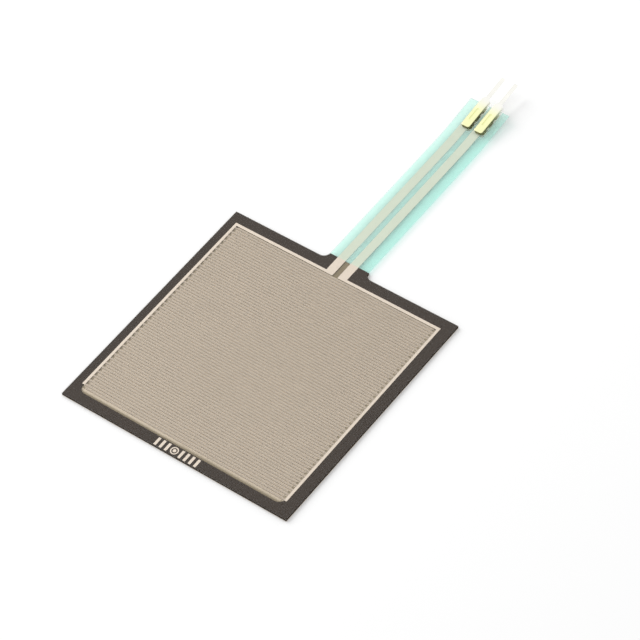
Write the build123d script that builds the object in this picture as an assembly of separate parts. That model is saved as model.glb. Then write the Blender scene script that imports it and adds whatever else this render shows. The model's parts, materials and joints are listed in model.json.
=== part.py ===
from build123d import *
from math import cos, floor, radians, sin
import os

# A square force sensing resistor, lying flat with its printed side up.
# A clear film carries two interleaved silver combs on its underside. A spacer frame holds it just
# above a black resistive layer on a second film, and pressing the film brings the two together.
# The clear film runs on as a narrow tail to two crimped solder contacts.
# X runs across the body, Y along the tail and Z up, in millimetres.
# The origin is the centre of the square, on its underside.

# Cut outline
body_size = 43.69
tail_width = 7.62
tail_length = 39.45
neck_length = 1.15
neck_fillet = 1.2

# Thickness of each layer, from the bottom up
liner_thickness = 0.09
rear_adhesive_thickness = 0.05
base_film_thickness = 0.125
resistive_ink_thickness = 0.02
spacer_thickness = 0.14
clear_film_thickness = 0.125
silver_thickness = 0.015
coating_cover = 0.02

# Spacer window, and the slot between the traces that lets air in and out
border_width = 2.0
window_corner_radius = 1.3
window_shift_y = -0.15
vent_overlap = 0.09

# Silver print, which sits a little to one side of the cut outline
print_shift_x = -0.3
line_width = 0.254
line_gap = 0.254
bus_width = 0.508
bus_overlap = 0.3
comb_end_gap = 0.45
trace_width = 1.524
contact_pitch = 2.54

# Index marks and a round target, printed on the border opposite the tail
mark_width = 0.47
mark_length = 1.5
mark_pitch = 1.016
marks_left = 3
marks_right = 4
marks_shift_x = 0.1
first_mark_offset = 1.32
target_diameter = 1.4
target_ring_width = 0.2
target_dot_diameter = 0.6

# Clear coating over the traces, left open round the contacts
coating_margin = 0.05
coating_window_margin = 0.25

# Crimped contacts, one for each trace: a stamped tray on the film, tines under it, and a tab
contact_shift_x = 0.1
sheet_thickness = 0.2
crimp_width = 1.6
crimp_length = 5.5
crimp_overhang = 0.6
crimp_height = 0.5
crimp_corner_radius = 0.4
crimp_edge_radius = 0.12
dimple_width = 0.5
dimple_length = 2.6
dimple_depth = 0.1
tine_count = 3
tine_width = 0.9
tine_setback = 0.5
tine_depth = 0.5
tine_curl_radius = 0.32
tine_tip_chamfer = 0.12
tab_width = 0.64
tab_length = 5.0
tab_shoulder = 0.5
tab_taper = 0.2

# The tail lies flat, turns up a little, and ends in a straight run that the contacts grip
tail_slope = 6.0
tail_bend_radius = 43.0
tail_run_margin = 0.3

# Heights of the layers
adhesive_z = liner_thickness
base_film_z = adhesive_z + rear_adhesive_thickness
resistive_ink_z = base_film_z + base_film_thickness
spacer_z = resistive_ink_z + resistive_ink_thickness
film_z = spacer_z + spacer_thickness
silver_z = film_z - silver_thickness

# Places that several pieces share
body_edge = body_size / 2
tail_edge = tail_width / 2
neck_end = body_edge + neck_length
window_size = body_size - 2 * border_width
window_edge = window_size / 2
window_top = window_shift_y + window_edge
window_bottom = window_shift_y - window_edge
top_line_high = window_top + bus_overlap
top_line_low = top_line_high - bus_width
trace_offset = contact_pitch / 2
trace_edges = (trace_offset - trace_width / 2, trace_offset + trace_width / 2)
tail_end_run = crimp_length + tail_run_margin
bend_length = tail_bend_radius * radians(tail_slope)
bend_start = body_edge + tail_length - tail_end_run - bend_length


def rectangle(x_ends, y_ends):
    """A flat rectangle between two ends in X and two in Y, given in either order."""
    middle = Pos(sum(x_ends) / 2, sum(y_ends) / 2)
    return middle * Rectangle(abs(x_ends[1] - x_ends[0]), abs(y_ends[1] - y_ends[0]))


def block(x_ends, y_ends, z_ends):
    """A block between two ends in each direction, the lower first."""
    sizes = [high - low for low, high in (x_ends, y_ends, z_ends)]
    return Pos(x_ends[0], y_ends[0], z_ends[0]) * Box(*sizes, align=(Align.MIN,) * 3)


def layer(outline, low, thickness):
    """A flat outline raised to its height and given its thickness."""
    return extrude(Pos(0, 0, low) * outline, thickness, dir=(0, 0, 1))


def cut_outline(top):
    """The square and its neck, up to top, with rounded corners where the neck leaves it."""
    neck = rectangle((-tail_edge, tail_edge), (0, top + 2 * neck_fillet))
    outline = Rectangle(body_size, body_size) + neck
    neck_roots = [(-tail_edge, body_edge), (tail_edge, body_edge)]
    inner_corners = [outline.vertices().sort_by_distance(root)[0] for root in neck_roots]
    outline = fillet(inner_corners, neck_fillet)
    return outline & rectangle((-body_edge, body_edge), (-body_edge, top))


def body_layer(low, thickness):
    """A layer that fills the square and the short neck."""
    return layer(cut_outline(neck_end), low, thickness)


def tail_end():
    """The frame of the tail's end, on the film's underside, with Y outward along the tail."""
    angle = radians(tail_slope)
    bend_run = tail_bend_radius * sin(angle)
    bend_rise = tail_bend_radius * (1 - cos(angle))
    end_y = bend_start + bend_run + tail_end_run * cos(angle)
    end_z = film_z + bend_rise + tail_end_run * sin(angle)
    origin = (0, end_y, end_z)
    return Plane(origin=origin, x_dir=(1, 0, 0), z_dir=(0, -sin(angle), cos(angle))).location


def tail_strip(x_ends, z_ends):
    """A strip from the neck to the tail's end, which follows the tail's bend.

    z_ends are its lower and upper face, measured from the film's underside.
    """
    edges = []
    for offset in z_ends:
        flat = Line((neck_end, film_z + offset), (bend_start, film_z + offset))
        bend = JernArc(flat @ 1, (1, 0), tail_bend_radius - offset, tail_slope)
        end_run = Line(bend @ 1, bend @ 1 + (bend % 1) * tail_end_run)
        edges += [flat, bend, end_run]
    lower_start, lower_end, upper_start, upper_end = edges[0], edges[2], edges[3], edges[5]
    edges += [Line(lower_start @ 0, upper_start @ 0), Line(lower_end @ 1, upper_end @ 1)]
    profile = Pos(x_ends[0], 0, 0) * (Plane.YZ * make_face(edges))
    return extrude(profile, x_ends[1] - x_ends[0], dir=(1, 0, 0))


def comb_lines(side):
    """The heights of one comb's lines. The left comb, on side -1, has the first one."""
    first = top_line_low - line_gap - line_width / 2
    lowest = window_bottom + comb_end_gap + line_width / 2
    step = line_width + line_gap
    count = floor((first - lowest) / step) + 1
    return [first - index * step for index in range(count) if (index % 2 == 0) == (side < 0)]


def comb_outline(side):
    """One comb with its bus, its half of the top line and the flat part of its trace."""
    bus_outer = side * (window_edge + bus_overlap)
    bus_inner = bus_outer - side * bus_width
    free_end = side * comb_end_gap - bus_inner
    trace_inner, trace_outer = (side * edge for edge in trace_edges)
    lines = comb_lines(side)
    half = line_width / 2
    shapes = [
        rectangle((bus_outer, bus_inner), (lines[-1] - half, top_line_high)),
        rectangle((bus_outer, trace_inner), (top_line_low, top_line_high)),
        rectangle((trace_outer, trace_inner), (top_line_low, neck_end)),
    ]
    shapes += [rectangle((bus_inner, free_end), (line - half, line + half)) for line in lines]
    return Pos(print_shift_x, 0) * (Sketch() + shapes)


def comb_electrode(side, contacts):
    """One comb and its trace, printed on the film's underside and pierced by its contact."""
    comb = layer(comb_outline(side), silver_z, silver_thickness)
    x_ends = sorted(print_shift_x + side * edge for edge in trace_edges)
    return comb + tail_strip(x_ends, (-silver_thickness, 0)) - contacts


def index_marks():
    """Short bars each side of a round target, in the middle of the border's height."""
    middle = Pos(print_shift_x + marks_shift_x, (window_bottom - body_edge) / 2)
    bar = Rectangle(mark_width, mark_length)
    left = [-first_mark_offset - index * mark_pitch for index in range(marks_left)]
    right = [first_mark_offset + index * mark_pitch for index in range(marks_right)]
    ring = Circle(target_diameter / 2) - Circle(target_diameter / 2 - target_ring_width)
    shapes = [Pos(place, 0) * bar for place in left + right]
    marks = Sketch() + shapes + ring + Circle(target_dot_diameter / 2)
    return layer(middle * marks, silver_z, silver_thickness)


def spacer_frame(prints):
    """The adhesive frame, with its window, its vent slot and the silver sunk into its top."""
    window = Pos(print_shift_x, window_shift_y) * RectangleRounded(
        window_size, window_size, window_corner_radius
    )
    vent_edge = trace_edges[0] + vent_overlap
    vent = rectangle((print_shift_x - vent_edge, print_shift_x + vent_edge), (0, neck_end))
    outline = cut_outline(neck_end) - window - vent
    return layer(outline, spacer_z, spacer_thickness) - prints


def clear_film(contacts):
    """The top film with its tail, pierced by the contacts."""
    body = body_layer(film_z, clear_film_thickness)
    tail = tail_strip((-tail_edge, tail_edge), (0, clear_film_thickness))
    return body + tail - contacts


def tail_coating(prints):
    """The coating under the tail, which covers the traces and stops short of each contact."""
    edge = tail_edge - coating_margin
    depth = silver_thickness + coating_cover
    coating = tail_strip((-edge, edge), (-depth, 0))
    half_window = crimp_width / 2 + coating_window_margin
    window_start = -crimp_length - coating_window_margin
    for side in (-1, 1):
        middle = contact_x(side)
        x_ends = (middle - half_window, middle + half_window)
        window = block(x_ends, (window_start, crimp_overhang), (-2 * depth, depth))
        coating -= tail_end() * window
    return coating - prints


def contact_x(side):
    """Where the contact on one side stands across the tail."""
    return contact_shift_x + side * contact_pitch / 2


def crimp_tray():
    """The tray of a contact: a shallow box without a floor or a back, with a pressed dimple."""
    low = clear_film_thickness
    high = low + crimp_height
    half = crimp_width / 2
    shell = block((-half, half), (-crimp_length, crimp_overhang), (low, high))
    front_corners = shell.edges().filter_by(Axis.Z).group_by(Axis.Y)[0]
    shell = fillet(front_corners, crimp_corner_radius)
    rim = shell.faces().sort_by(Axis.Z)[-1].edges()
    back_edge = rim.sort_by(Axis.Y)[-1]
    shell = fillet([edge for edge in rim if edge != back_edge], crimp_edge_radius)

    inner_half = half - sheet_thickness
    inner_front = sheet_thickness - crimp_length
    roof = high - sheet_thickness
    hollow = block((-inner_half, inner_half), (inner_front, crimp_overhang), (low, roof))
    inner_corners = hollow.edges().filter_by(Axis.Z).group_by(Axis.Y)[0]
    hollow = fillet(inner_corners, crimp_corner_radius - sheet_thickness)

    slot = Pos(0, -crimp_length / 2) * Rot(0, 0, 90) * SlotOverall(dimple_length, dimple_width)
    dent = layer(slot, high - dimple_depth, dimple_depth)
    bump = layer(slot, roof - dimple_depth, dimple_depth)
    return shell - hollow - dent + bump


def solder_tab():
    """The narrow tab that carries on from the tray's roof, with shoulders and a tapered tip."""
    shoulder_half = crimp_width / 2 - crimp_edge_radius
    tab_half = tab_width / 2
    tip_half = tab_half - tab_taper / 2
    end = crimp_overhang + tab_length
    right_side = [
        (shoulder_half, crimp_overhang),
        (tab_half, crimp_overhang + tab_shoulder),
        (tab_half, end - tab_taper),
        (tip_half, end),
    ]
    left_side = [(-x, y) for x, y in reversed(right_side)]
    outline = make_face(Polyline(*right_side, *left_side, close=True))
    roof = clear_film_thickness + crimp_height - sheet_thickness
    return layer(outline, roof, sheet_thickness)


def tine(side, start):
    """One tine: down through the film from the tray's wall, then curled in and up to the silver."""
    wall = side * crimp_width / 2
    inward = -side
    curl_middle = wall + inward * tine_curl_radius
    curl_z = tine_curl_radius - tine_depth
    curl_end = wall + inward * 2 * tine_curl_radius
    wall_top = clear_film_thickness + crimp_height / 2
    leg = rectangle((wall, wall + inward * sheet_thickness), (curl_z, wall_top))
    tip = rectangle((curl_end, curl_end - inward * sheet_thickness), (curl_z, -silver_thickness))
    ring = Circle(tine_curl_radius) - Circle(tine_curl_radius - sheet_thickness)
    lower_half = rectangle((-tine_curl_radius, tine_curl_radius), (-tine_curl_radius, 0))
    curl = Pos(curl_middle, curl_z) * (ring & lower_half)
    profile = Pos(0, start, 0) * (Plane.XZ * (leg + curl + tip))
    shape = extrude(profile, tine_width, dir=(0, 1, 0))
    tip_edges = shape.edges().filter_by(Axis.X).sort_by(Axis.Z)[:2]
    return chamfer(tip_edges, tine_tip_chamfer)


def crimp_contact(side):
    """A contact stamped from one sheet, in place on the tail's end."""
    last_start = -tine_setback - tine_width
    first_start = tine_setback - crimp_length
    step = (last_start - first_start) / (tine_count - 1)
    contact = crimp_tray() + solder_tab()
    for wall_side in (-1, 1):
        contact += [tine(wall_side, first_start + index * step) for index in range(tine_count)]
    return tail_end() * Pos(contact_x(side), 0, 0) * contact


def build():
    """Every piece of the sensor, by name."""
    contacts = [crimp_contact(-1), crimp_contact(1)]
    electrodes = [comb_electrode(-1, contacts), comb_electrode(1, contacts)]
    marks = index_marks()
    return {
        "release_liner": body_layer(0, liner_thickness),
        "rear_adhesive": body_layer(adhesive_z, rear_adhesive_thickness),
        "base_film": body_layer(base_film_z, base_film_thickness),
        "resistive_layer": body_layer(resistive_ink_z, resistive_ink_thickness),
        "spacer_adhesive": spacer_frame(electrodes + [marks]),
        "left_comb": electrodes[0],
        "right_comb": electrodes[1],
        "index_marks": marks,
        "tail_coating": tail_coating(electrodes),
        "clear_film": clear_film(contacts),
        "left_contact": contacts[0],
        "right_contact": contacts[1],
    }


os.makedirs("parts", exist_ok=True)
for name, piece in build().items():
    export_step(piece, f"parts/{name}.step")
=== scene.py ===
import json
import math

import bmesh
import bpy
from mathutils import Matrix, Vector


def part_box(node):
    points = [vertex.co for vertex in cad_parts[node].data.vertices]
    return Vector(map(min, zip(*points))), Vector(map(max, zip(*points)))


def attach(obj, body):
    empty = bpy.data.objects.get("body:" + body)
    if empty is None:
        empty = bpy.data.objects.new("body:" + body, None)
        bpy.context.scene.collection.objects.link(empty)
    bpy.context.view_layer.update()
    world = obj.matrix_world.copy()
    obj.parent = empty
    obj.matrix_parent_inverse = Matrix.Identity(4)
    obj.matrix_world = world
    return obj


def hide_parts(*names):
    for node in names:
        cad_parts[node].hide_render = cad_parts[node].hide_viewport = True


bl_info = {
    "name": "Force Sensing Resistor",
    "version": (1, 0, 0),
    "blender": (4, 5, 0),
    "location": "View3D > Sidebar > Force Sensor",
    "description": "Finishes a square force sensing resistor and sets it on a pale studio floor",
    "category": "Object",
}

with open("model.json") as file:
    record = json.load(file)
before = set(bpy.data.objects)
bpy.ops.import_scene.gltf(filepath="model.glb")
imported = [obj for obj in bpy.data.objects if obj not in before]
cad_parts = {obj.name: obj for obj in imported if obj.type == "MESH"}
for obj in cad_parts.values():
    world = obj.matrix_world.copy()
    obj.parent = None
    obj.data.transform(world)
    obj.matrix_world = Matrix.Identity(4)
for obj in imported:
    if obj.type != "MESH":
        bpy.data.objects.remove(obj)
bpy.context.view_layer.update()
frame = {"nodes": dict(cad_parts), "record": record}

MM = 0.001
WHITE = (1, 1, 1, 1)
FILM_IOR = 1.5
BODY = "root"

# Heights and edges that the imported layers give
film_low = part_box("spacer_adhesive")[1].z
film_high = next(m for m in frame["record"]["mounts"] if m["name"] == "sensing_face")["pos_m"][2]
body_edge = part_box("release_liner")[1].x
neck_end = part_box("release_liner")[1].y


def length(name, description, default_mm):
    """A size property, given in millimetres and kept in metres."""
    return bpy.props.FloatProperty(
        name=name, description=description, default=default_mm * MM,
        min=0.0, precision=6, unit="LENGTH", subtype="DISTANCE",
    )


def colour(name, description, default):
    """A colour property in linear red, green and blue."""
    return bpy.props.FloatVectorProperty(
        name=name, description=description, default=default,
        size=3, min=0.0, max=1.0, subtype="COLOR",
    )


def share(name, description, default):
    """A property between nothing and all of something."""
    return bpy.props.FloatProperty(
        name=name, description=description, default=default,
        min=0.0, max=1.0, subtype="FACTOR",
    )


def angle(name, description, degrees):
    """An angle property, given in degrees and kept in radians."""
    return bpy.props.FloatProperty(
        name=name, description=description, default=math.radians(degrees),
        subtype="ANGLE", unit="ROTATION",
    )


def amount(name, description, default):
    """A plain number property."""
    return bpy.props.FloatProperty(name=name, description=description, default=default, min=0.0)


class FilmSettings(bpy.types.PropertyGroup):
    """Sizes and finish of the clear film, and of the films and coating that go with it."""

    tail_width: length("Tail Width", "Width of the tail across its two traces", 7.62)
    neck_radius: length("Neck Radius", "Rounding where the tail leaves the square", 1.2)
    end_run: length("End Run", "Straight run at the tail's end that the contacts grip", 5.8)
    bend_radius: length("Bend Radius", "Radius of the tail's upward bend", 43.0)
    tail_slope: angle("Tail Slope", "How far the tail's end turns up", 6.0)
    lift: length("Lift", "Gap kept between the film and the print under it", 0.008)
    sink: length("Sink", "How far the film's face lies below its full height", 0.004)
    edge_break: length("Edge Break", "Width of the rounding along the cut edges", 0.02)
    clear: colour("Clear", "What one face of the bare film lets through", (0.985, 0.985, 0.98))
    coated: colour("Coated", "What one face of the film lets through on the tail", (0.98, 1.0, 0.99))
    cut_edge: colour("Cut Edge", "What one face of the tail's cut edge lets through", (0.80, 0.90, 0.89))
    dark_edge: colour("Dark Edge", "What one face of the body's cut edge lets through", (0.6, 0.58, 0.56))
    coating: colour("Coating", "What one face of the coating lets through", (0.86, 1.0, 0.98))
    haze: share("Haze", "Share of the film that looks milky", 0.004)
    coating_haze: share("Coating Haze", "Share of the coating that looks milky", 0.17)
    # Painted light: the coating is painted milkier along its left side, standing for light that washes
    # over that side
    left_sheen_haze: share("Left Haze", "Further milky share along the coating's left side", 0.46)


class PrintSettings(bpy.types.PropertyGroup):
    """Finish of the silver print and of the resistive ink."""

    silver: colour("Silver", "Printed silver of the wide runs", (0.77, 0.67, 0.57))
    fine_silver: colour("Fine Silver", "Printed silver of the combs' fine lines", (0.47, 0.395, 0.32))
    coated_silver: colour("Coated Silver", "Printed silver of the tail's traces", (0.67, 0.68, 0.575))
    silver_metal: share("Silver Metal", "How metallic the silver looks", 0.25)
    silver_roughness: share("Silver Roughness", "Roughness of the printed silver", 0.55)
    silver_grain: length("Silver Grain", "Size of the silver flakes' clusters", 0.12)
    trace_width: length("Trace Width", "Width of each trace on the tail", 1.524)
    line_pitch: length("Line Pitch", "Distance from one fine line to the next", 0.508)
    bus_width: length("Bus Width", "Width of each bus that shows in full silver", 0.44)
    comb_top: length("Comb Top", "How far up the fine lines of the combs reach", 19.38)
    comb_fade: length("Comb Fade", "Width over which the combs' own shade sets in", 0.1)
    last_fade: length("Last Fade", "Width of that fade past the combs' last line", 0.7)
    # Painted light: the share of the ink's painted paleness that stays in the dark spot past the end of a
    # line
    spot_light: share("Spot Light", "Light that still reaches the ink past the end of a line", 0.2)
    # Painted reflection: the carbon ink's own dark brown is painted lighter, standing for the film's
    # underside and the ink's sheen reflecting over the air gap
    ink: colour("Ink", "Carbon ink, seen through the air gap", (0.265, 0.215, 0.14))
    # Painted light: the ink between the fine lines is painted paler than the carbon, standing for light
    # the silver lines spread onto it and lifting the shade they cast on it
    ink_paled_by_painted_light: colour("Comb Ink", "Carbon ink, paled by the fine lines' light", (0.68, 0.582, 0.461))
    ink_roughness: share("Ink Roughness", "Roughness of the carbon ink", 0.72)
    ink_grain: length("Ink Grain", "Size of the specks in the ink", 0.18)


class AdhesiveSettings(bpy.types.PropertyGroup):
    """Colours of the adhesives, the base film and the liner."""

    border: colour("Border", "Spacer adhesive over black ink", (0.044, 0.031, 0.022))
    base: colour("Base Film", "Base film with black ink behind it", (0.012, 0.010, 0.010))
    rear: colour("Rear Adhesive", "Mounting adhesive at its edge", (0.05, 0.047, 0.045))
    liner: colour("Liner", "Siliconised kraft paper", (0.40, 0.31, 0.21))


class ContactSettings(bpy.types.PropertyGroup):
    """Finish of the crimped contacts."""

    pitch: length("Pitch", "Distance between the two contacts' middles", 2.54)
    dimple: length("Dimple", "How far from its middle a contact's stiffening dimple reaches", 0.35)
    dimple_start: length("Dimple Start", "How far behind a contact's front its dimple starts", 0.5)
    tin_reach: length("Tin Reach", "How far back from the film's tip the tinning reaches", 2.4)
    plating: colour("Plating", "Gold plating", (0.98, 0.99, 0.56))
    tinned: colour("Tinned", "Tinned solder tabs", (0.97, 0.96, 0.90))
    # Painted shade: this dark colour on the contacts' upright faces stands for the shade in the crevices
    # round their folded walls, along with the bare metal of their cut edges
    wall_shade: colour("Wall", "Bare metal of the folded walls and cut edges", (0.17, 0.16, 0.06))
    roughness: share("Roughness", "Roughness of the plating", 0.24)
    rolled_grain: length("Rolled Grain", "Spacing of the rolling marks on the strip", 0.06)


class StageSettings(bpy.types.PropertyGroup):
    """Floor, light and camera."""

    floor_size: length("Floor Size", "Half the width of the floor", 3000.0)
    floor: colour("Floor", "Colour of the floor", (0.93, 0.93, 0.93))
    surround: amount("Surround", "Brightness of the white surroundings", 0.84)
    key_power: amount("Key Power", "Power of the large soft light, in watts", 2.1)
    key_size: length("Key Size", "Width of the large soft light", 420.0)
    key_distance: length("Key Distance", "Distance of the large soft light", 600.0)
    key_azimuth: angle("Key Azimuth", "Side from which the large soft light comes", 266.0)
    key_elevation: angle("Key Elevation", "Height of the large soft light", 33.0)
    target_x: length("Target X", "Where the camera looks, across the body", 2.7803)
    target_y: length("Target Y", "Where the camera looks, along the tail", 11.5329)
    camera_azimuth: angle("Camera Azimuth", "Side from which the camera looks", 44.0998)
    camera_elevation: angle("Camera Elevation", "Height from which the camera looks", 50.3529)
    camera_roll: angle("Camera Roll", "Turn of the camera about its line of sight", 8.9023)
    camera_distance: length("Camera Distance", "Distance of the camera", 503.2295)
    sensor: length("Sensor", "Width of the camera's sensor", 36.0)
    focal_length: length("Focal Length", "Focal length of the lens", 182.584)


SETTINGS = {
    "sensor_film": FilmSettings,
    "sensor_print": PrintSettings,
    "sensor_adhesive": AdhesiveSettings,
    "sensor_contact": ContactSettings,
    "sensor_stage": StageSettings,
}


class Value:
    """A shader socket that takes part in Python arithmetic by adding Math nodes."""

    def __init__(self, finish, socket):
        self.finish = finish
        self.socket = socket

    def math(self, operation, first, second):
        """A Math node on two values or numbers."""
        return self.finish.add("Math", {"operation": operation}, {0: first, 1: second})

    def __add__(self, other):
        return self.math("ADD", self, other)

    def __radd__(self, other):
        return self.math("ADD", other, self)

    def __sub__(self, other):
        return self.math("SUBTRACT", self, other)

    def __rsub__(self, other):
        return self.math("SUBTRACT", other, self)

    def __mul__(self, other):
        return self.math("MULTIPLY", self, other)

    def __rmul__(self, other):
        return self.math("MULTIPLY", other, self)

    def __abs__(self):
        return self.math("ABSOLUTE", self, 0)


class Finish:
    """A material under construction, with the one method that adds its nodes."""

    def __init__(self, name):
        self.material = bpy.data.materials.new(name)
        self.material.use_nodes = True
        self.tree = self.material.node_tree
        self.tree.nodes.clear()
        self.place = self.add("TexCoord", output="Object")

    def add(self, kind, settings=None, inputs=None, output=0):
        """A shader node: its settings first, then the values or links of its sockets.

        Gives back one of its outputs, or nothing where it has none.
        """
        node = self.tree.nodes.new("ShaderNode" + kind)
        for name, value in (settings or {}).items():
            setattr(node, name, value)
        for name, value in (inputs or {}).items():
            socket = node.inputs[name]
            if isinstance(value, Value):
                self.tree.links.new(value.socket, socket)
            else:
                socket.default_value = value
        return Value(self, node.outputs[output]) if len(node.outputs) else None

    def noise(self, size, detail=2.0, stretch=(1, 1, 1)):
        """Noise from 0 to 1 whose features are about the given size, in metres."""
        turned = self.add("Mapping", inputs={"Vector": self.place, "Scale": stretch})
        sockets = {"Vector": turned, "Scale": 1 / size, "Detail": detail}
        return self.add("TexNoise", inputs=sockets)

    def axis(self, vector, name):
        """One part, X, Y or Z, of a vector."""
        return self.add("SeparateXYZ", inputs={0: vector}, output=name)

    def ramp(self, value, start, end):
        """A soft step from 0, where the value is at the start, to 1 at the end."""
        sockets = {"Value": value, "From Min": start, "From Max": end}
        return self.add("MapRange", {"interpolation_type": "SMOOTHSTEP"}, sockets)

    def spread(self, value, low, high):
        """A value from 0 to 1, stretched to lie between two numbers."""
        return value * (high - low) + low

    def blend(self, factor, first, second):
        """A colour between two colours, each a socket or linear red, green and blue."""
        first, second = (c if isinstance(c, Value) else [*c, 1] for c in (first, second))
        sockets = {0: factor, 6: first, 7: second}
        return self.add("Mix", {"data_type": "RGBA"}, sockets, output=2)

    def shades(self, factor, middle, contrast):
        """Lighter and darker shades of a colour, by a factor from 0 to 1."""
        middle = middle if isinstance(middle, Value) else [*middle, 1]
        sockets = {0: 1.0, 6: middle, 7: self.spread(factor, 1 - contrast, 1 + contrast)}
        return self.add("Mix", {"data_type": "RGBA", "blend_type": "MULTIPLY"}, sockets, output=2)

    def bump(self, height, depth):
        """A normal for a relief whose height, from 0 to 1, counts times depth in metres."""
        sockets = {"Height": height, "Distance": depth, "Strength": 1.0}
        return self.add("Bump", inputs=sockets)

    def surface(self, shader):
        """Ends the material with this shader."""
        self.add("OutputMaterial", inputs={"Surface": shader})
        return self.material


def cloudy_pass(finish, passes, haze, milk, normal):
    """A clear sheet: the colour it passes, and a haze that scatters light evenly both ways."""
    through = finish.add("BsdfTransparent", inputs={"Color": [*passes, 1]})
    sent_back = finish.add("BsdfDiffuse", inputs={"Color": milk, "Normal": normal})
    sent_on = finish.add("BsdfTranslucent", inputs={"Color": milk, "Normal": normal})
    evenly = 0.5
    cloudy = finish.add("MixShader", inputs={0: evenly, 1: sent_back, 2: sent_on})
    return finish.add("MixShader", inputs={0: haze, 1: through, 2: cloudy})


def glossy_pass(finish, passes, haze, milk, normal, roughness):
    """A clear sheet that mirrors on its outside only, so that no light is caught inside it."""
    body = cloudy_pass(finish, passes, haze, milk, normal)
    sockets = {"Color": WHITE, "Roughness": roughness, "Normal": normal}
    mirror = finish.add("BsdfGlossy", inputs=sockets)
    gloss = finish.add("Fresnel", inputs={"IOR": FILM_IOR, "Normal": normal})
    inside = finish.add("NewGeometry", output="Backfacing")
    return finish.add("MixShader", inputs={0: gloss * (1 - inside), 1: body, 2: mirror})


def film_finish(name, passes, haze):
    """Clear polyester film with faint scuffs in its gloss."""
    finish = Finish(name)
    scuffs = finish.noise(size=0.5 * MM, detail=4.0)
    waves = finish.noise(size=9 * MM)
    roughness = finish.spread(scuffs, low=0.04, high=0.12)
    normal = finish.bump(waves, depth=0.004 * MM)
    milk = (0.85, 0.86, 0.87, 1)
    clouds = finish.noise(size=6 * MM, detail=3.0)
    cloudy = finish.spread(clouds, low=0.5 * haze, high=1.5 * haze)
    return finish.surface(glossy_pass(finish, passes, cloudy, milk, normal, roughness))


def edge_finish(name, passes, frost):
    """The cut edge of a film, which is frosted by the die and looks deeper in colour."""
    finish = Finish(name)
    drag = finish.noise(size=0.04 * MM, stretch=(1, 1, 6))
    roughness = finish.spread(drag, low=0.25, high=0.45)
    normal = finish.bump(drag, depth=0.002 * MM)
    milk = (0.55, 0.66, 0.64, 1)
    haze = finish.spread(drag, low=0.5 * frost, high=1.5 * frost)
    return finish.surface(glossy_pass(finish, passes, haze, milk, normal, roughness))


def grained(finish, base, contrast, patch_size, grain_size, roughness, grain_depth):
    """The sockets of an opaque finish: patches of shade, and a fine grain in gloss and relief."""
    patch_share = 0.6
    gloss_swing = 0.08
    patches = finish.noise(patch_size, detail=3.0)
    grain = finish.noise(grain_size, detail=3.0)
    mottle = patches * patch_share + grain * (1 - patch_share)
    return {
        "Base Color": finish.shades(mottle, base, contrast),
        "Roughness": finish.spread(grain, roughness - gloss_swing, roughness + gloss_swing),
        "Normal": finish.bump(grain, grain_depth),
    }


def opaque(finish, sockets, metal=0.0, gloss=0.5):
    """Ends an opaque material with these sockets."""
    constants = {"Metallic": metal, "Specular IOR Level": gloss}
    return finish.surface(finish.add("BsdfPrincipled", inputs={**constants, **sockets}))


def comb_field(finish, left, right, settings):
    """1 over the combs' fine lines from a left edge to a right one, and 0 round that field."""
    x = finish.axis(finish.place, "X")
    y = finish.axis(finish.place, "Y")
    fade = settings.comb_fade
    bottom = min(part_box("left_comb")[0].y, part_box("right_comb")[0].y)
    across = finish.ramp(x, left - fade, left + fade) * finish.ramp(x, right + fade, right - fade)
    top = settings.comb_top
    along = finish.ramp(y, bottom - settings.last_fade, bottom) * finish.ramp(y, top + fade, top)
    return across * along


def rooted_field(finish, settings):
    """The same field out to both buses."""
    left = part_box("left_comb")[0].x + settings.bus_width
    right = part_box("right_comb")[1].x - settings.bus_width
    return comb_field(finish, left, right, settings)


def painted_light_on_ink(finish, settings):
    """Painted light on the ink: 1 where the silver lines are painted as lighting it, less in a spot past
    a line's end, 0 round the combs.
    """
    between = comb_field(finish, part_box("right_comb")[0].x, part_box("left_comb")[1].x, settings)
    half_line = settings.line_pitch / 4
    lowest_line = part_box("left_comb")[0].y + half_line
    on_right = finish.ramp(finish.axis(finish.place, "X"), -MM, MM)
    # Each comb's own lines come every second pitch, the right one's half a turn after the left's
    own_pitch = 2 * settings.line_pitch
    half_turn = 0.5
    above = finish.axis(finish.place, "Y") - lowest_line
    turns = above * (1 / own_pitch) + on_right * half_turn
    wave = finish.add("Math", {"operation": "COSINE"}, {0: turns * math.tau})
    near_root = finish.ramp(wave, start=-0.5, end=0.2)
    painted_lift = finish.spread(near_root, low=settings.spot_light, high=1)
    return between + (1 - between) * painted_lift * rooted_field(finish, settings)


def cut_side(finish):
    """1 on upright faces and 0 on level ones."""
    normal = finish.add("NewGeometry", output="Normal")
    return finish.ramp(abs(finish.axis(normal, "Z")), start=0.7, end=0.4)


def wear(node_names, material):
    """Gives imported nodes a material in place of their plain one."""
    for name in node_names:
        mesh = frame["nodes"][name].data
        mesh.materials.clear()
        mesh.materials.append(material)


class SENSOR_OT_liner(bpy.types.Operator):
    """Finish the release liner as smooth siliconised paper"""

    bl_idname = "sensor.liner"
    bl_label = "Release Liner"

    def execute(self, context):
        base = context.scene.sensor_adhesive.liner
        finish = Finish("siliconised_paper")
        sockets = grained(
            finish, base, contrast=0.05, patch_size=4 * MM,
            grain_size=0.12 * MM, roughness=0.5, grain_depth=0.004 * MM,
        )
        wear(["release_liner"], opaque(finish, sockets))
        return {"FINISHED"}


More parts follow.
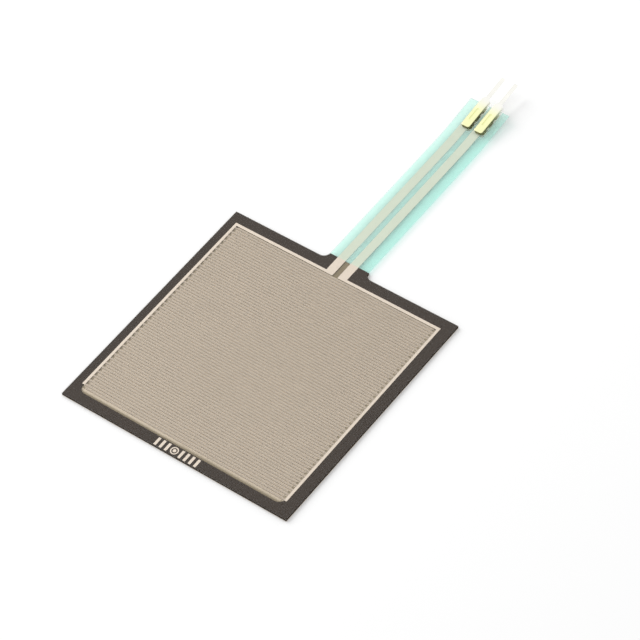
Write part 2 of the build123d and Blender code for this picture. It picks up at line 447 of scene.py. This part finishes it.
class SENSOR_OT_adhesives(bpy.types.Operator):
    """Finish the spacer adhesive over the black ink, and the mounting adhesive at the back"""

    bl_idname = "sensor.adhesives"
    bl_label = "Adhesives"

    def execute(self, context):
        settings = context.scene.sensor_adhesive
        border = Finish("wetted_black_border")
        sockets = grained(
            border, settings.border, contrast=0.04, patch_size=3 * MM,
            grain_size=0.25 * MM, roughness=0.6, grain_depth=0.0003 * MM,
        )
        wear(["spacer_adhesive"], opaque(border, sockets, gloss=0.0))
        rear = Finish("mounting_adhesive")
        sockets = grained(
            rear, settings.rear, contrast=0.1, patch_size=2 * MM,
            grain_size=0.2 * MM, roughness=0.35, grain_depth=0.003 * MM,
        )
        wear(["rear_adhesive"], opaque(rear, sockets))
        return {"FINISHED"}


class SENSOR_OT_base(bpy.types.Operator):
    """Finish the base film and the resistive ink on it"""

    bl_idname = "sensor.base"
    bl_label = "Base Film and Ink"

    def execute(self, context):
        base = context.scene.sensor_adhesive.base
        film = Finish("black_backed_film")
        sockets = grained(
            film, base, contrast=0.1, patch_size=5 * MM,
            grain_size=0.3 * MM, roughness=0.22, grain_depth=0.001 * MM,
        )
        wear(["base_film"], opaque(film, sockets, gloss=0.05))
        ink = context.scene.sensor_print
        carbon = Finish("carbon_ink")
        # Painted light: the ink between the combs' fine lines is painted paler than the rest
        shade = carbon.blend(painted_light_on_ink(carbon, ink), ink.ink, ink.ink_paled_by_painted_light)
        # The ink's cut side is black, as the film under it
        shade = carbon.blend(cut_side(carbon), shade, base)
        sockets = grained(
            carbon, shade, contrast=0.12, patch_size=5 * MM,
            grain_size=ink.ink_grain, roughness=ink.ink_roughness, grain_depth=0.003 * MM,
        )
        wear(["resistive_layer"], opaque(carbon, sockets, gloss=0.1))
        return {"FINISHED"}


class SENSOR_OT_silver(bpy.types.Operator):
    """Finish the two printed combs and the index marks"""

    bl_idname = "sensor.silver"
    bl_label = "Silver Print"

    def execute(self, context):
        ink = context.scene.sensor_print
        silver = Finish("printed_silver")
        fade = MM / 10
        on_tail = silver.ramp(silver.axis(silver.place, "Y"), neck_end - fade, neck_end + fade)
        on_body = silver.blend(rooted_field(silver, ink), ink.silver, ink.fine_silver)
        shade = silver.blend(on_tail, on_body, ink.coated_silver)
        sockets = grained(
            silver, shade, contrast=0.05, patch_size=3 * MM,
            grain_size=ink.silver_grain, roughness=ink.silver_roughness, grain_depth=0.003 * MM,
        )
        material = opaque(silver, sockets, metal=ink.silver_metal)
        wear(["left_comb", "right_comb", "index_marks"], material)
        return {"FINISHED"}


class SENSOR_OT_coating(bpy.types.Operator):
    """Finish the clear green-tinted coating under the tail"""

    bl_idname = "sensor.coating"
    bl_label = "Tail Coating"

    def execute(self, context):
        settings = context.scene.sensor_film
        finish = Finish("tinted_coating")
        ripple = finish.noise(size=1.5 * MM, detail=3.0)
        normal = finish.bump(ripple, depth=0.002 * MM)
        milk = (0.9, 1.0, 0.97, 1)
        half = settings.tail_width / 2
        x = finish.axis(finish.place, "X")
        # Painted light: milkier towards the tail's left side, standing for light washing over it
        sheen_side = finish.ramp(x, half, -half)
        clouds = finish.spread(ripple, low=0.8, high=1.2)
        haze = settings.coating_haze * clouds + sheen_side * settings.left_sheen_haze
        body = cloudy_pass(finish, settings.coating, haze, milk, normal)
        # The upper faces that lie against the traces add nothing to them, seen from below
        print_middle = (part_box("left_comb")[0].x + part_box("right_comb")[1].x) / 2
        from_trace = abs(abs(x - print_middle) - context.scene.sensor_contact.pitch / 2)
        trace_edge = context.scene.sensor_print.trace_width / 2
        trace_fade = MM / 20
        on_trace = finish.ramp(from_trace, trace_edge + trace_fade, trace_edge)
        inside = finish.add("NewGeometry", output="Backfacing")
        # A face seen from inside has its normal turned round, which this undoes
        facing = finish.axis(finish.add("NewGeometry", output="Normal"), "Z")
        outward = facing * (1 - 2 * inside)
        hidden = on_trace * finish.ramp(outward, start=0.3, end=0.7)
        clear = finish.add("BsdfTransparent", inputs={"Color": WHITE})
        shader = finish.add("MixShader", inputs={0: hidden, 1: body, 2: clear})
        wear(["tail_coating"], finish.surface(shader))
        return {"FINISHED"}


class SENSOR_OT_film(bpy.types.Operator):
    """Cut, bend and finish the clear film, which stands for the plain one"""

    bl_idname = "sensor.film"
    bl_label = "Clear Film"

    bend_steps = 12
    corner_segments = 8
    edge_segments = 2
    rim_angle = 1.2
    level_normal = 0.9
    sharp_angle = math.radians(12)
    near = MM / 10
    hair = MM / 1000

    def flat_blank(self, settings, tail_length):
        """The flat outline: a square with a tail, and rounded corners where they join."""
        half = settings.tail_width / 2
        right = [
            (half, tail_length), (half, body_edge), (body_edge, body_edge), (body_edge, -body_edge),
        ]
        outline = right + [(-x, y) for x, y in reversed(right)]
        blank = bmesh.new()
        corners = [blank.verts.new((x, y, film_low + settings.lift)) for x, y in outline]
        blank.faces.new(corners)
        roots = [
            v for v in corners
            if abs(abs(v.co.x) - half) < self.near and v.co.y < tail_length - self.near
        ]
        bmesh.ops.bevel(
            blank, geom=roots, offset=settings.neck_radius, offset_type="OFFSET", affect="VERTICES",
            segments=self.corner_segments, profile=0.5, material=-1,
        )
        return blank

    def thicken(self, blank, settings):
        """Raises the blank to the film's thickness and rounds its cut edges."""
        faces = list(blank.faces)
        grown = bmesh.ops.extrude_face_region(blank, geom=faces)["geom"]
        top = [item for item in grown if isinstance(item, bmesh.types.BMVert)]
        rise = film_high - settings.sink - film_low - settings.lift
        bmesh.ops.translate(blank, verts=top, vec=(0, 0, rise))
        bmesh.ops.recalc_face_normals(blank, faces=blank.faces)
        rims = [
            edge for edge in blank.edges
            if edge.calc_face_angle() > self.rim_angle
            and abs(edge.verts[0].co.z - edge.verts[1].co.z) < self.hair
        ]
        bmesh.ops.bevel(
            blank, geom=rims, offset=settings.edge_break, offset_type="OFFSET", affect="EDGES",
            segments=self.edge_segments, profile=0.5, material=-1,
        )

    def bend(self, film, settings, bend_start):
        """Turns the tail up in small steps, from its end back towards the body."""
        step_angle = settings.tail_slope / self.bend_steps
        step = settings.bend_radius * step_angle
        hinges = [bend_start + (index + 0.5) * step for index in range(self.bend_steps)]
        for y in [neck_end, *hinges]:
            geometry = film.verts[:] + film.edges[:] + film.faces[:]
            bmesh.ops.bisect_plane(film, geom=geometry, plane_co=(0, y, 0), plane_no=(0, 1, 0))
        turn = Matrix.Rotation(step_angle, 3, "X")
        for y in reversed(hinges):
            beyond = [v for v in film.verts if v.co.y > y + self.hair]
            bmesh.ops.rotate(film, cent=(0, y, film_low), matrix=turn, verts=beyond)

    def execute(self, context):
        settings = context.scene.sensor_film
        bend_length = settings.bend_radius * settings.tail_slope
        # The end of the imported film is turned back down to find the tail's flat length
        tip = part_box("clear_film")[1].y
        run = settings.end_run * math.cos(settings.tail_slope)
        bend_start = tip - run - settings.bend_radius * math.sin(settings.tail_slope)
        film = self.flat_blank(settings, bend_start + bend_length + settings.end_run)
        self.thicken(film, settings)
        self.bend(film, settings, bend_start)
        film.normal_update()
        # Two materials for the film's faces, on the body and on the tail, then two for its edges
        for face in film.faces:
            on_tail = face.calc_center_median().y > neck_end
            flat = abs(face.normal.z) > self.level_normal
            face.material_index = on_tail if flat else 2 + on_tail
            face.smooth = True
        mesh = bpy.data.meshes.new("film")
        film.to_mesh(mesh)
        film.free()
        mesh.set_sharp_from_angle(angle=self.sharp_angle)
        mesh.materials.append(film_finish("bare_film", settings.clear, settings.haze))
        mesh.materials.append(film_finish("coated_film", settings.coated, settings.haze))
        mesh.materials.append(edge_finish("square_cut_edge", settings.dark_edge, frost=0.02))
        mesh.materials.append(edge_finish("tail_cut_edge", settings.cut_edge, frost=0.3))
        piece = bpy.data.objects.new("film", mesh)
        context.scene.collection.objects.link(piece)
        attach(piece, BODY)
        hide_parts("clear_film")
        return {"FINISHED"}


class SENSOR_OT_contacts(bpy.types.Operator):
    """Finish the two crimped contacts in gold plating"""

    bl_idname = "sensor.contacts"
    bl_label = "Crimped Contacts"

    def execute(self, context):
        settings = context.scene.sensor_contact
        finish = Finish("contact_plating")
        rolled = finish.noise(settings.rolled_grain, stretch=(1, 0.08, 1))
        patches = finish.noise(size=1.2 * MM, detail=3.0)
        gloss_swing = 0.06
        fade = MM / 10
        x = finish.axis(finish.place, "X")
        y = finish.axis(finish.place, "Y")
        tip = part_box("clear_film")[1].y
        near_tab = finish.ramp(y, tip - settings.tin_reach, tip + settings.tin_reach / 3)
        # The dimple's own small walls keep the plating's colour and get none of the painted wall shade
        middle = (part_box("left_contact")[0].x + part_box("right_contact")[1].x) / 2
        aside = abs(abs(x - middle) - settings.pitch / 2)
        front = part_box("left_contact")[0].y + settings.dimple_start
        past_dimple = finish.ramp(aside, settings.dimple, settings.dimple + fade)
        before_dimple = finish.ramp(y, front + fade, front)
        undimpled = 1 - (1 - past_dimple) * (1 - before_dimple)
        # Painted shade: upright faces, away from the dimple and the tinned tabs, are painted in the dark
        # wall colour
        facing = finish.axis(finish.add("NewGeometry", output="Normal"), "Z")
        on_shaded_wall = finish.ramp(abs(facing), start=0.8, end=0.5) * undimpled * (1 - near_tab)
        plating = finish.blend(near_tab, settings.plating, settings.tinned)
        plating = finish.blend(on_shaded_wall, plating, settings.wall_shade)
        middle_gloss = settings.roughness
        sockets = {
            "Base Color": finish.shades(patches, plating, contrast=0.06),
            "Roughness": finish.spread(rolled, middle_gloss - gloss_swing, middle_gloss + gloss_swing),
            "Normal": finish.bump(rolled, depth=0.0015 * MM),
        }
        wear(["left_contact", "right_contact"], opaque(finish, sockets, metal=0.5))
        return {"FINISHED"}


def direction(azimuth, elevation):
    """The way out from the object to something at that azimuth and elevation."""
    flat = math.cos(elevation)
    return Vector((math.sin(azimuth) * flat, -math.cos(azimuth) * flat, math.sin(elevation)))


class SENSOR_OT_stage(bpy.types.Operator):
    """Set the pale floor, the soft studio light and the camera"""

    bl_idname = "sensor.stage"
    bl_label = "Studio Stage"

    def floor(self, settings, scene):
        """A plain pale floor that the sensor lies on."""
        plane = bmesh.new()
        bmesh.ops.create_grid(plane, x_segments=1, y_segments=1, size=settings.floor_size)
        mesh = bpy.data.meshes.new("floor")
        plane.to_mesh(mesh)
        plane.free()
        finish = Finish("pale_floor")
        sockets = {"Color": [*settings.floor, 1]}
        mesh.materials.append(finish.surface(finish.add("BsdfDiffuse", inputs=sockets)))
        floor = bpy.data.objects.new("floor", mesh)
        scene.collection.objects.link(floor)

    def light(self, settings, scene):
        """White surroundings, and one large soft light."""
        world = bpy.data.worlds.new("white_surround")
        world.use_nodes = True
        background = world.node_tree.nodes["Background"]
        background.inputs["Color"].default_value = WHITE
        background.inputs["Strength"].default_value = settings.surround
        scene.world = world
        key = bpy.data.lights.new("key", "AREA")
        key.shape = "SQUARE"
        key.size = settings.key_size
        key.energy = settings.key_power
        lamp = bpy.data.objects.new("key", key)
        towards = direction(settings.key_azimuth, settings.key_elevation)
        lamp.location = towards * settings.key_distance
        lamp.rotation_euler = towards.to_track_quat("Z", "Y").to_euler()
        scene.collection.objects.link(lamp)

    def camera(self, settings, scene):
        """The camera at the photograph's angle."""
        lens = bpy.data.cameras.new("camera")
        lens.sensor_width = settings.sensor / MM
        lens.lens = settings.focal_length / MM
        lens.clip_start = 10 * MM
        lens.clip_end = 100.0
        camera = bpy.data.objects.new("camera", lens)
        back = direction(settings.camera_azimuth, settings.camera_elevation)
        level = (-back).cross(Vector((0, 0, 1))).normalized()
        down = (-back).cross(level)
        cos_roll, sin_roll = math.cos(settings.camera_roll), math.sin(settings.camera_roll)
        right = level * cos_roll + down * sin_roll
        up = level * sin_roll - down * cos_roll
        target = Vector((settings.target_x, settings.target_y, 0))
        turn = Matrix((right, up, back)).transposed().to_4x4()
        camera.matrix_world = Matrix.Translation(target + back * settings.camera_distance) @ turn
        scene.collection.objects.link(camera)
        scene.camera = camera

    def execute(self, context):
        settings = context.scene.sensor_stage
        self.floor(settings, context.scene)
        self.light(settings, context.scene)
        self.camera(settings, context.scene)
        context.scene.view_settings.view_transform = "Standard"
        return {"FINISHED"}


OPERATORS = [
    SENSOR_OT_liner,
    SENSOR_OT_adhesives,
    SENSOR_OT_base,
    SENSOR_OT_silver,
    SENSOR_OT_coating,
    SENSOR_OT_film,
    SENSOR_OT_contacts,
    SENSOR_OT_stage,
]


class SENSOR_PT_panel(bpy.types.Panel):
    """The sensor's pieces, with their sizes and colours"""

    bl_idname = "SENSOR_PT_panel"
    bl_label = "Force Sensor"
    bl_space_type = "VIEW_3D"
    bl_region_type = "UI"
    bl_category = "Force Sensor"

    def draw(self, context):
        for operator in OPERATORS:
            self.layout.operator(operator.bl_idname)
        for name, group in SETTINGS.items():
            box = self.layout.box()
            for setting in group.__annotations__:
                box.prop(getattr(context.scene, name), setting)


CLASSES = [*SETTINGS.values(), *OPERATORS, SENSOR_PT_panel]


def register():
    for cls in CLASSES:
        bpy.utils.register_class(cls)
    for name, group in SETTINGS.items():
        setattr(bpy.types.Scene, name, bpy.props.PointerProperty(type=group))


def unregister():
    for name in SETTINGS:
        delattr(bpy.types.Scene, name)
    for cls in reversed(CLASSES):
        bpy.utils.unregister_class(cls)


def main():
    """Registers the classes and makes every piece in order."""
    register()
    bpy.ops.sensor.liner()
    bpy.ops.sensor.adhesives()
    bpy.ops.sensor.base()
    bpy.ops.sensor.silver()
    bpy.ops.sensor.coating()
    bpy.ops.sensor.film()
    bpy.ops.sensor.contacts()
    bpy.ops.sensor.stage()


if __name__ == "__main__":
    main()
